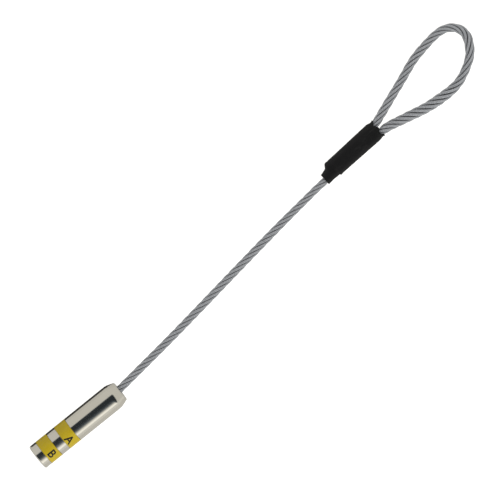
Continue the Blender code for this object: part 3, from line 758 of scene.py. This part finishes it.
for letter, (middle, print_angle) in LETTER_PLACES.items():
    flat = letter_mesh(letter.upper())
    places = np.array([vertex.co for vertex in flat.vertices])
    low, high = places.min(axis=0), places.max(axis=0)
    size = CAP_HEIGHT / (high[1] - low[1])
    solid = bmesh.new()
    solid.from_mesh(flat)
    for vertex in solid.verts:
        vertex.co.x = (vertex.co.x - (low[0] + high[0]) / 2) * size
        vertex.co.y = (vertex.co.y - (low[1] + high[1]) / 2) * size
    half_width = (high[0] - low[0]) / 2 * size
    strip = FULL_TURN * HEAD_RADIUS / HEAD_STEPS
    for index in range(-math.ceil(half_width / strip), math.ceil(half_width / strip) + 1):
        bmesh.ops.bisect_plane(solid, geom=solid.verts[:] + solid.edges[:] + solid.faces[:],
                               plane_co=(index * strip, 0.0, 0.0), plane_no=(1.0, 0.0, 0.0))
    for vertex in solid.verts:
        angle = print_angle + vertex.co.x / HEAD_RADIUS
        radius = HEAD_RADIUS + PRINT_THICKNESS / 2 + vertex.co.z
        vertex.co = (middle + vertex.co.y, -radius * math.sin(angle),
                     AXIS_HEIGHT + radius * math.cos(angle))
    bmesh.ops.remove_doubles(solid, verts=solid.verts, dist=1e-7)
    printed = link("letter_" + letter, mesh_from(solid, "letter_" + letter))
    dress(printed, ink, 40)
    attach(printed, "head")
    print("letter", letter, "is", round(2000 * half_width, 1), "mm wide")

# %% [markdown]
# ## Heat-shrink sleeve
#
# The sleeve is a length of plastic tube that was shrunk with hot air. It takes the shape of what
# is inside it: a flattened oval over the pressed ferrule, a step down on to the rope, and a small
# shoulder where the rope's dead end stops. It can't reach into the fork between the two legs of
# the eye, so its open end stays a plain slot with a thin edge. It is lofted: a list of stations
# gives its two sides and its height, one smooth rule joins them, and each ring is a soft oval.
# Faint ripples across it, where the tube cooled, are in the shape itself.

# %% Stations of the sleeve, in metres
# distance past the ferrule's start, side towards -Y, side towards +Y, half height
SLEEVE_STATIONS = (
    (-0.0124, -0.00690, 0.00305, 0.00445),
    (-0.0120, -0.00672, 0.00290, 0.00432),
    (-0.0100, -0.00652, 0.00335, 0.00430),
    (-0.0069, -0.00640, 0.00420, 0.00430),
    (-0.0050, -0.00645, 0.00700, 0.00435),
    (-0.0040, -0.00658, 0.00764, 0.00440),
    (-0.0013, -0.00650, 0.00745, 0.00452),
    (-0.0005, -0.00768, 0.00758, 0.00474),
    (0.0020, -0.00742, 0.00762, 0.00478),
    (0.0100, -0.00748, 0.00768, 0.00478),
    (0.0200, -0.00758, 0.00786, 0.00479),
    (0.0300, -0.00768, 0.00802, 0.00479),
    (0.0385, -0.00780, 0.00812, 0.00478),
    (0.0402, -0.00768, 0.00796, 0.00474),
    (0.0420, -0.00718, 0.00732, 0.00468),
    (0.0428, -0.00726, 0.00742, 0.00468),
    (0.04376, -0.00772, 0.00800, 0.00470),
)
SLEEVE_WALL = 0.0008
SLEEVE_RINGS = 226
SLEEVE_SIDES = 96
RIPPLE = 0.00004
stations = np.array(SLEEVE_STATIONS)
sleeve_places = np.linspace(stations[0, 0], stations[-1, 0], SLEEVE_RINGS)
sleeve_sides = np.stack([np.interp(sleeve_places, stations[:, 0], stations[:, column])
                         for column in (1, 2, 3)], axis=1)
blur = np.array((1, 2, 1)) / 4.0
padded = np.pad(sleeve_sides, ((1, 1), (0, 0)), mode="edge")
sleeve_sides = np.stack([np.convolve(padded[:, column], blur, "valid") for column in range(3)],
                        axis=1)
print("sleeve is", round(1000 * float(sleeve_places[-1] - sleeve_places[0]), 1), "mm long")

# %% Loft the sleeve
FLATNESS = 2.6
# the ripples' rate along the tube, and how far and how fast they wander
RIPPLE_RATE, WANDER, WANDER_RATE = 900.0, 1.3, 200.0
INSIDE_SKIP = 3  # the inside needs only every third ring
# the open end's rim reaches out between the legs and at its corners, and draws back over each leg
RIM_WAVE = 0.0011
RIM_REACH = 0.0045
sleeve_end = sleeve_places[-1]


def sleeve_ring(solid, place, low, high, half_height, inset, ripple):
    """One ring: an oval that is flatter than an ellipse on its top and underside."""
    middle_line = FERRULE_START + FERRULE_AXIS * place + FERRULE_SIDE * (low + high) / 2
    near_end = max(0.0, 1.0 - (sleeve_end - place) / RIM_REACH) ** 2
    height = rope_height(FERRULE_START.x + place)
    half_width = (high - low) / 2
    ring = []
    for step in range(SLEEVE_SIDES):
        angle = FULL_TURN * (step + 0.5) / SLEEVE_SIDES
        across = math.copysign(abs(math.cos(angle)) ** (2 / FLATNESS), math.cos(angle))
        up = math.copysign(abs(math.sin(angle)) ** (2 / FLATNESS), math.sin(angle))
        wander = WANDER * math.sin(3 * angle + WANDER_RATE * place)
        wave = ripple * math.sin(RIPPLE_RATE * place + wander)
        reach = RIM_WAVE * near_end * math.cos(FULL_TURN * across)
        point = (middle_line + FERRULE_AXIS * reach
                 + FERRULE_SIDE * across * (half_width - inset + wave))
        ring.append(solid.verts.new((BALL_CENTRE.x + point.x, point.y,
                                     height + up * (half_height - inset + wave))))
    return ring


solid = bmesh.new()
rings = [sleeve_ring(solid, place, *sides, 0.0, -RIPPLE / 2)
         for place, sides in zip(sleeve_places, sleeve_sides)]
rings += [sleeve_ring(solid, place, *sides, SLEEVE_WALL, 0.0)
          for place, sides in zip(sleeve_places[::-INSIDE_SKIP], sleeve_sides[::-INSIDE_SKIP])]
for first, second in zip(rings, rings[1:] + rings[:1]):
    for step in range(SLEEVE_SIDES):
        after = (step + 1) % SLEEVE_SIDES
        solid.faces.new((first[step], first[after], second[after], second[step]))
shrink = bpy.data.materials.new("black_heat_shrink")
sleeve = link("shrink_sleeve", mesh_from(solid, "shrink_sleeve"))
dress(sleeve, shrink, 45)
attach(sleeve, "rope_and_eye")
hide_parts("heat_shrink_sleeve")
print("sleeve faces:", len(sleeve.data.polygons))

# %% [markdown]
# ## Shared effects
#
# Several finishes need the same things: slow cloudy variation, fine grain, and marks from
# handling. Each is a small node group with named sockets, built once and placed in each material
# with its own values. A group gives only masks and heights. The shader stays in the material.

# %% Helpers for materials


def new_group(name, inputs, outputs):
    """A shader node group with named inputs (name, kind, value) and float outputs."""
    group = bpy.data.node_groups.new(name, "ShaderNodeTree")
    for socket_name, kind, value in inputs:
        socket = group.interface.new_socket(socket_name, in_out="INPUT",
                                            socket_type="NodeSocket" + kind)
        if value is not None:
            socket.default_value = value
    for socket_name in outputs:
        group.interface.new_socket(socket_name, in_out="OUTPUT",
                                   socket_type="NodeSocketFloat")
    return group, group.nodes.new("NodeGroupInput").outputs, group.nodes.new("NodeGroupOutput")


def noise(tree, vector, scale, detail=4.0, roughness=0.55):
    return add_node(tree, "ShaderNodeTexNoise",
                    {"Vector": vector, "Scale": scale, "Detail": detail,
                     "Roughness": roughness}).outputs["Fac"]


def mixed(tree, share, first, second):
    """A colour between two others, each a socket or a plain (red, green, blue)."""
    first, second = ((*tone, 1.0) if isinstance(tone, tuple) else tone
                     for tone in (first, second))
    return add_node(tree, "ShaderNodeMix", {0: share, 6: first, 7: second},
                    data_type="RGBA").outputs[2]


def bump(tree, height, strength, distance, normal=None):
    inputs = {"Height": height, "Strength": strength, "Distance": distance}
    if normal is not None:
        inputs["Normal"] = normal
    return add_node(tree, "ShaderNodeBump", inputs).outputs[0]


def near_places(tree, along, places, full, none):
    """1 close to any of the places, falling to 0 between two distances from it."""
    nearest = None
    for edge in places:
        distance = maths(tree, "ABSOLUTE", maths(tree, "SUBTRACT", along, edge))
        near = ramp(tree, distance, full, none, 1.0, 0.0)
        nearest = near if nearest is None else maths(tree, "MAXIMUM", nearest, near)
    return nearest


def start_material(material, **constants):
    """Empties a material and gives it a Principled shader with constants on its own sockets."""
    material.use_nodes = True
    tree = material.node_tree
    tree.nodes.clear()
    shader = tree.nodes.new("ShaderNodeBsdfPrincipled")
    for socket_name, value in constants.items():
        shader.inputs[socket_name.replace("_", " ")].default_value = value
    output = tree.nodes.new("ShaderNodeOutputMaterial")
    tree.links.new(shader.outputs[0], output.inputs["Surface"])
    return tree, shader, tree.nodes.new("ShaderNodeTexCoord").outputs["Object"]


def feed(tree, shader, **sockets):
    """Links values to the shader's sockets."""
    for socket_name, value in sockets.items():
        tree.links.new(value, shader.inputs[socket_name.replace("_", " ")])


print("a finish starts with start_material and ends with feed")

# %% Group: clouds and grain
clouds_group, given, result = new_group(
    "clouds and grain",
    (("Vector", "Vector", None), ("Cloud scale", "Float", 60.0), ("Grain scale", "Float", 2500.0)),
    ("Clouds", "Grain"))
feed(clouds_group, result,
     Clouds=noise(clouds_group, given["Vector"], given["Cloud scale"]),
     Grain=noise(clouds_group, given["Vector"], given["Grain scale"], 3.0, 0.7))


def clouds_at(tree, place, cloud_scale, grain_scale=2500.0):
    """Places the group, with its own scales, in a material."""
    return add_node(tree, "ShaderNodeGroup",
                    {"Vector": place, "Cloud scale": cloud_scale, "Grain scale": grain_scale},
                    node_tree=clouds_group).outputs


print("shared group:", clouds_group.name)

# %% Group: handling marks
# fine scratches are the thin lines where a stretched noise passes through its middle value
SCRATCH_TURNS = (0.6, -0.9)
SCRATCH_STRETCH = (0.12, 1.0, 1.0)
marks_group, given, result = new_group(
    "handling marks",
    (("Vector", "Vector", None), ("Scale", "Float", 180.0), ("Width", "Float", 0.012),
     ("Amount", "Float", 0.5)),
    ("Scratches", "Dust"))
crossing = []
for turn in SCRATCH_TURNS:
    turned_place = add_node(marks_group, "ShaderNodeMapping",
                            {"Vector": given["Vector"], "Rotation": (0.3, turn, turn),
                             "Scale": SCRATCH_STRETCH}).outputs[0]
    waves = noise(marks_group, turned_place, given["Scale"], 2.0, 0.5)
    line = maths(marks_group, "ABSOLUTE", maths(marks_group, "SUBTRACT", waves, 0.5))
    crossing.append(maths(marks_group, "SUBTRACT", 1.0,
                          maths(marks_group, "DIVIDE", line, given["Width"]), clamp=True))
patches = ramp(marks_group, noise(marks_group, given["Vector"], 70.0, 3.0), 0.45, 0.65)
dust = ramp(marks_group, noise(marks_group, given["Vector"], 1400.0, 2.0, 0.8), 0.66, 0.74)
feed(marks_group, result,
     Scratches=maths(marks_group, "MULTIPLY", maths(marks_group, "MAXIMUM", *crossing),
                     maths(marks_group, "MULTIPLY", patches, given["Amount"])),
     Dust=maths(marks_group, "MULTIPLY", dust, given["Amount"]))


def marks_at(tree, place, scale, width, amount):
    """Places the group, with its own values, in a material."""
    return add_node(tree, "ShaderNodeGroup",
                    {"Vector": place, "Scale": scale, "Width": width, "Amount": amount},
                    node_tree=marks_group).outputs


print("shared group:", marks_group.name)

# %% [markdown]
# ## Bright plated steel
#
# Zinc plate over fine turning is nearly a mirror, with a warm cast. Two things stop it from
# looking like a perfect chrome: the lathe's feed leaves rings too fine to count, which smear a
# reflection along the head but keep it sharp across, and handling leaves hairline scratches and
# a duller, worn line on the outer edges.

# %% Plated steel
PLATE_TONES = (0.585, 0.560, 0.485), (0.660, 0.635, 0.560)
PLATE_WORN, PLATE_DUST = (0.45, 0.44, 0.42), (0.42, 0.41, 0.38)
FEED_RINGS, FEED_SMEAR = 9000.0, (1.0, 0.004, 0.004)
WORN_FULL, WORN_NONE = 0.0003, 0.0011  # distances from an end of the head
tree, shader, place = start_material(plated, Metallic=1.0)
clouds = clouds_at(tree, place, 70.0)
marks = marks_at(tree, place, 260.0, 0.006, 0.45)
smeared = add_node(tree, "ShaderNodeMapping", {"Vector": place, "Scale": FEED_SMEAR}).outputs[0]
rings = noise(tree, smeared, FEED_RINGS, 2.0, 0.6)
edge = near_places(tree, part_of(tree, place)["X"], (MOUTH_X, BACK_X), WORN_FULL, WORN_NONE)
worn = maths(tree, "MULTIPLY", edge, ramp(tree, clouds["Grain"], 0.35, 0.65))
tone = mixed(tree, clouds["Clouds"], *PLATE_TONES)
tone = mixed(tree, maths(tree, "MULTIPLY", worn, 0.5), tone, PLATE_WORN)
rough = maths(tree, "MULTIPLY_ADD", clouds["Clouds"], 0.06, 0.09)
rough = maths(tree, "MULTIPLY_ADD", worn, 0.22, rough)
feed(tree, shader,
     Base_Color=mixed(tree, marks["Dust"], tone, PLATE_DUST),
     Roughness=maths(tree, "MULTIPLY_ADD", marks["Scratches"], 0.25, rough),
     Normal=bump(tree, marks["Scratches"], 0.25, 0.00001, bump(tree, rings, 0.10, 0.00002)))
print("plated steel nodes:", len(tree.nodes))

# %% [markdown]
# ## Galvanised wire
#
# Hot-dip zinc on wire is dull silver-grey with a fine spangle. The colour is darkened deep between
# the strands and in the grooves between wires, a painted shade, so the crests stand out lighter.
# The rope's own shape says where that is: the winding tree stored how far out from the rope's
# middle each point lies, and whether it is on the crest of a wire.

# %% Galvanised wire
ZINC_TONES = (0.35, 0.365, 0.390), (0.48, 0.498, 0.525)
ZINC_SPANGLE = (0.58, 0.595, 0.62)
# painted shade: colours for the darkening deep between strands and in the grooves between wires
SHADE_PAINTED_BETWEEN_STRANDS, SHADE_PAINTED_BETWEEN_WIRES = (0.19, 0.195, 0.205), (0.15, 0.153, 0.16)
tree, shader, place = start_material(galvanised, Metallic=0.72)
outward, crest = (add_node(tree, "ShaderNodeAttribute", attribute_name=name).outputs["Fac"]
                  for name in ("outward", "crest"))
clouds = clouds_at(tree, place, 90.0, 3200.0)
zinc = mixed(tree, clouds["Clouds"], *ZINC_TONES)
zinc = mixed(tree, ramp(tree, clouds["Grain"], 0.35, 0.70), zinc, ZINC_SPANGLE)
# painted shade: darker deep between strands, where a point lies nearer the rope's middle
shallow = ramp(tree, outward, 0.62, 0.92)
zinc = mixed(tree, shallow, SHADE_PAINTED_BETWEEN_STRANDS, zinc)
rough = maths(tree, "MULTIPLY_ADD", clouds["Grain"], 0.22, 0.30)
# painted shade in the grooves between wires, away from each wire's crest
feed(tree, shader,
     Base_Color=mixed(tree, ramp(tree, crest, 0.0, 0.8, 0.40, 0.0), zinc, SHADE_PAINTED_BETWEEN_WIRES),
     Roughness=maths(tree, "MULTIPLY_ADD", maths(tree, "SUBTRACT", 1.0, shallow), 0.3, rough),
     Normal=bump(tree, clouds["Grain"], 0.35, 0.00002))
print("galvanised wire nodes:", len(tree.nodes))

# %% [markdown]
# ## Heat-shrink plastic
#
# Shrunk polyolefin is a deep satin black. Its surface has a fine leathery grain, the ripples of
# the tube, and grey rub marks where it has been dragged.

# %% Heat-shrink
SHRINK_TONES = (0.003, 0.003, 0.0032), (0.007, 0.007, 0.0074)
SHRINK_RUBBED, SHRINK_DUST = (0.06, 0.06, 0.06), (0.035, 0.035, 0.034)
tree, shader, place = start_material(shrink, Metallic=0.0, Specular_IOR_Level=0.22)
clouds = clouds_at(tree, place, 120.0, 4200.0)
marks = marks_at(tree, place, 240.0, 0.012, 0.6)
black = mixed(tree, clouds["Clouds"], *SHRINK_TONES)
black = mixed(tree, maths(tree, "MULTIPLY", marks["Scratches"], 0.35), black, SHRINK_RUBBED)
rough = maths(tree, "MULTIPLY_ADD", clouds["Clouds"], 0.16, 0.42)
grain = bump(tree, clouds["Grain"], 0.30, 0.00003)
feed(tree, shader,
     Base_Color=mixed(tree, marks["Dust"], black, SHRINK_DUST),
     Roughness=maths(tree, "MULTIPLY_ADD", marks["Scratches"], 0.15, rough),
     Normal=bump(tree, clouds["Clouds"], 0.25, 0.0004, grain))
print("heat-shrink nodes:", len(tree.nodes))

# %% [markdown]
# ## Yellow film and black print
#
# The labels are coloured film under a clear gloss, so the colour is a plain plastic and the
# shine is a coat on top. The film has a fine orange-peel surface and darkens a little where
# fingers have rubbed its edges. The print is the same film, inked black.

# %% Film
FILM_TONES = (0.44, 0.320, 0.002), (0.50, 0.370, 0.004)
FILM_PEEL, FILM_RIM, FILM_SCRATCHED = (0.37, 0.285, 0.003), (0.22, 0.18, 0.02), (0.75, 0.70, 0.35)
RIM_WIDTH = 0.0004
rim_places = [start + side for start in BAND_STARTS.values() for side in (0.0, BAND_WIDTH)]
tree, shader, place = start_material(yellow, Metallic=0.0, Specular_IOR_Level=0.25,
                                     Coat_Roughness=0.08, Coat_IOR=1.5)
clouds = clouds_at(tree, place, 130.0, 1500.0)
marks = marks_at(tree, place, 300.0, 0.01, 0.5)
film = mixed(tree, clouds["Clouds"], *FILM_TONES)
film = mixed(tree, ramp(tree, clouds["Grain"], 0.4, 0.75, 0.0, 0.25), film, FILM_PEEL)
rim = near_places(tree, part_of(tree, place)["X"], rim_places, 0.0, RIM_WIDTH)
film = mixed(tree, maths(tree, "MULTIPLY", rim, 0.45), film, FILM_RIM)
feed(tree, shader,
     Base_Color=mixed(tree, maths(tree, "MULTIPLY", marks["Scratches"], 0.5), film,
                      FILM_SCRATCHED),
     Roughness=maths(tree, "MULTIPLY_ADD", clouds["Grain"], 0.15, 0.30),
     Coat_Weight=maths(tree, "MULTIPLY_ADD", marks["Scratches"], -0.1, 0.18),
     Normal=bump(tree, clouds["Grain"], 0.05, 0.00004))
print("film nodes:", len(tree.nodes))

# %% Print
INK_TONES = (0.006, 0.006, 0.005), (0.020, 0.018, 0.012)
tree, shader, place = start_material(ink, Metallic=0.0, Specular_IOR_Level=0.2)
clouds = clouds_at(tree, place, 400.0)
feed(tree, shader,
     Base_Color=mixed(tree, clouds["Grain"], *INK_TONES),
     Roughness=maths(tree, "MULTIPLY_ADD", clouds["Clouds"], 0.2, 0.32),
     Normal=bump(tree, clouds["Grain"], 0.08, 0.00002))
print("print nodes:", len(tree.nodes))

# %% [markdown]
# ## Black oxide, pressed steel and pressed aluminium
#
# The set screws are black oxide steel, which is a thin dark skin that wears back to steel on the
# crests of the thread. The ball inside the head and the ferrule inside the sleeve are hardly
# seen, but anyone who looks down the bore finds a plain pressed steel ball.

# %% Black oxide
OXIDE_TONES, OXIDE_WORN = ((0.030, 0.030, 0.034), (0.075, 0.073, 0.075)), (0.24, 0.23, 0.22)
tree, shader, place = start_material(black_oxide, Metallic=1.0)
clouds = clouds_at(tree, place, 500.0, 5000.0)
skin = mixed(tree, clouds["Clouds"], *OXIDE_TONES)
feed(tree, shader,
     Base_Color=mixed(tree, ramp(tree, clouds["Grain"], 0.60, 0.75, 0.0, 0.6), skin, OXIDE_WORN),
     Roughness=maths(tree, "MULTIPLY_ADD", clouds["Grain"], 0.25, 0.26),
     Normal=bump(tree, clouds["Grain"], 0.25, 0.00002))
print("black oxide nodes:", len(tree.nodes))

# %% Pressed metals
PRESSED_METALS = (  # engineering piece, darkest and palest tone, roughness
    ("rope_stop", (0.36, 0.36, 0.37), (0.52, 0.52, 0.52), 0.26),
    ("rope_ferrule", (0.55, 0.56, 0.58), (0.72, 0.73, 0.74), 0.30))
PRESSED_DUST = (0.12, 0.11, 0.10)
for node_name, low_tone, high_tone, base_rough in PRESSED_METALS:
    material = bpy.data.materials.new(node_name + "_metal")
    tree, shader, place = start_material(material, Metallic=1.0)
    clouds = clouds_at(tree, place, 250.0, 3600.0)
    marks = marks_at(tree, place, 500.0, 0.02, 0.8)
    tone = mixed(tree, clouds["Clouds"], low_tone, high_tone)
    rough = maths(tree, "MULTIPLY_ADD", clouds["Grain"], 0.2, base_rough)
    feed(tree, shader,
         Base_Color=mixed(tree, marks["Dust"], tone, PRESSED_DUST),
         Roughness=maths(tree, "MULTIPLY_ADD", marks["Scratches"], 0.2, rough),
         Normal=bump(tree, clouds["Grain"], 0.2, 0.00002))
    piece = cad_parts[node_name]
    piece.data.materials.clear()
    piece.data.materials.append(material)
print("materials:", len(bpy.data.materials))

# %% [markdown]
# ## The floor and the light
#
# The floor is plain and pale, and bright enough that shadows stay faint. A shiny barrel shows
# what surrounds it, so the light is a matter of what it reflects. Pale walls all round make it
# pale. A graded board hangs above, which only reflections can see: it is dark overhead, as a
# light tent is that opens there for the camera, and that draws the dark stripe along the barrel.
# It brightens softly towards one side, and that draws the highlight beside the stripe. A pure
# white floor would dissolve the outline of polished steel, so reflections find a greyer one.

# %% Floor
WARM_WHITE, COOL_WHITE = (1.0, 0.99, 0.97), (0.94, 0.98, 1.0)


def plain_material(name, base, glow):
    """A dull material of one grey that also glows a little."""
    material = bpy.data.materials.new(name)
    start_material(material, Roughness=0.9, Specular_IOR_Level=0.0,
                   Base_Color=(base, base, base, 1.0), Emission_Color=(*WARM_WHITE, 1.0),
                   Emission_Strength=glow)
    return material


def board(name, width, length, middle, facing, material, *rays):
    """A flat board that only the named kinds of ray can see, with its width along X."""
    solid = bmesh.new()
    corners = [solid.verts.new((x * width / 2, y * length / 2, 0.0))
               for x, y in ((-1, -1), (1, -1), (1, 1), (-1, 1))]
    solid.faces.new(corners)
    mesh = bpy.data.meshes.new(name)
    solid.to_mesh(mesh)
    solid.free()
    turn = Vector(facing).to_track_quat("Z", "Y").to_matrix().to_4x4()
    mesh.transform(Matrix.Translation(middle) @ turn)
    mesh.materials.append(material)
    placed = link(name, mesh)
    for ray in ("camera", "diffuse", "glossy", "transmission", "volume_scatter", "shadow"):
        setattr(placed, "visible_" + ray, ray in rays)
    return placed


FLOOR_SIDE, FLOOR_DROP = 30.0, 0.0003
UP, DOWN = (0, 0, 1), (0, 0, -1)
board("floor", FLOOR_SIDE, FLOOR_SIDE, (0.0, 0.0, -FLOOR_DROP), UP,
      plain_material("pale_floor", 0.80, 0.62), "camera")
board("floor_for_reflections", FLOOR_SIDE, FLOOR_SIDE, (0.0, 0.0, -FLOOR_DROP), UP,
      plain_material("pale_floor_reflected", 0.55, 0.20), "diffuse", "glossy", "transmission")
print("the floor lies", 1000 * FLOOR_DROP, "mm under the lanyard")

# %% Pale surroundings and soft lights
WORLD_STRENGTH = 0.78
LIGHT_DISTANCE = 1.6
# name, degrees from straight up towards -Y, width, length, watts, colour, seen in reflections
LIGHTS = (("strip", 61.5, 0.44, 2.4, 4.8, WARM_WHITE, False),
          ("key", 58.0, 1.0, 1.6, 9.0, WARM_WHITE, False),
          ("low fill", 82.0, 1.0, 3.0, 1.1, COOL_WHITE, True))
world = bpy.data.worlds.new("pale_room")
world.use_nodes = True
background = world.node_tree.nodes["Background"].inputs
background["Color"].default_value = (*WARM_WHITE, 1.0)
background["Strength"].default_value = WORLD_STRENGTH
bpy.context.scene.world = world
for name, angle, width, length, power, colour, reflected in LIGHTS:
    data = bpy.data.lights.new(name, "AREA")
    data.shape = "RECTANGLE"
    data.size, data.size_y = length, width
    data.energy, data.color = power, colour
    light = link(name, data)
    outwards = Vector((0.0, -math.sin(math.radians(angle)), math.cos(math.radians(angle))))
    light.location = Vector((0.0, 0.0, AXIS_HEIGHT)) + outwards * LIGHT_DISTANCE
    light.rotation_euler = outwards.to_track_quat("Z", "Y").to_euler()
    light.visible_glossy = reflected
print("lights:", len(LIGHTS))

# %% The graded board above
BOARD_HEIGHT, BOARD_LENGTH = 1.2, 1.10
BOARD_FAR_Y, BOARD_NEAR_Y = 0.66, -4.60
# the far edge of the dark gap, and how the glow grows from the gap to the bright strip: each
# pair is a place along Y and the glow there, as a share of STRIP_GLOW
FAR_DARK_Y, FAR_PALE_Y = 0.40, 0.62
STRIP_GLOW = 1.18
GLOW_ALONG_Y = ((-0.35, 0.035), (-0.61, 0.06), (-0.85, 0.12), (-1.14, 0.29), (-1.52, 0.77),
                (-2.05, 1.14), (-2.60, 1.18))
FALL_FROM_Y, FALL_TO_Y = -2.35, -4.20  # past the strip the glow falls to that of the room
SLANT_ACROSS = 2.2  # the glow is slanted, so the stripe widens from the head's mouth to its back
GAP_TINT, TINT_FADES = (0.80, 0.97, 1.20), (0.06, 0.50)  # the dark gap gives back a little blue
gap_material = plain_material("dark_gap", 0.0, 0.0)
tree = gap_material.node_tree
split = part_of(tree, tree.nodes["Texture Coordinate"].outputs["Object"])
across = maths(tree, "MULTIPLY_ADD", split["X"], SLANT_ACROSS, split["Y"])
steps = [ramp(tree, split["Y"], FAR_DARK_Y, FAR_PALE_Y, 0.0, WORLD_STRENGTH),
         ramp(tree, split["Y"], FALL_TO_Y, FALL_FROM_Y,
              WORLD_STRENGTH - GLOW_ALONG_Y[-1][1] * STRIP_GLOW, 0.0)]
for (last_y, last_share), (next_y, next_share) in zip(GLOW_ALONG_Y, GLOW_ALONG_Y[1:]):
    steps.append(ramp(tree, across, next_y, last_y, (next_share - last_share) * STRIP_GLOW, 0.0))
glow = GLOW_ALONG_Y[0][1] * STRIP_GLOW
for step in steps:
    glow = maths(tree, "ADD", step, glow)
feed(tree, tree.nodes["Principled BSDF"], Emission_Strength=glow,
     Emission_Color=mixed(tree, ramp(tree, glow, *TINT_FADES), GAP_TINT, WARM_WHITE))
board("dark_gap", BOARD_LENGTH, BOARD_FAR_Y - BOARD_NEAR_Y,
      (0.0, (BOARD_NEAR_Y + BOARD_FAR_Y) / 2, BOARD_HEIGHT), DOWN, gap_material, "glossy")

# painted shadow: a dark card on the floor by the head's far side draws the thin dark line there
CARD_FROM, CARD_TO = 0.009, 0.038
board("painted_shadow_card", head_high.x - head_low.x, CARD_TO - CARD_FROM,
      (0.0, (CARD_FROM + CARD_TO) / 2, -FLOOR_DROP / 2), UP,
      plain_material("painted_shadow_card", 0.05, 0.02), "glossy")
print("the board above is", round(BOARD_FAR_Y - BOARD_NEAR_Y, 2), "m wide")

bpy.context.scene.view_settings.view_transform = "Standard"
bpy.context.scene.view_settings.look = "None"
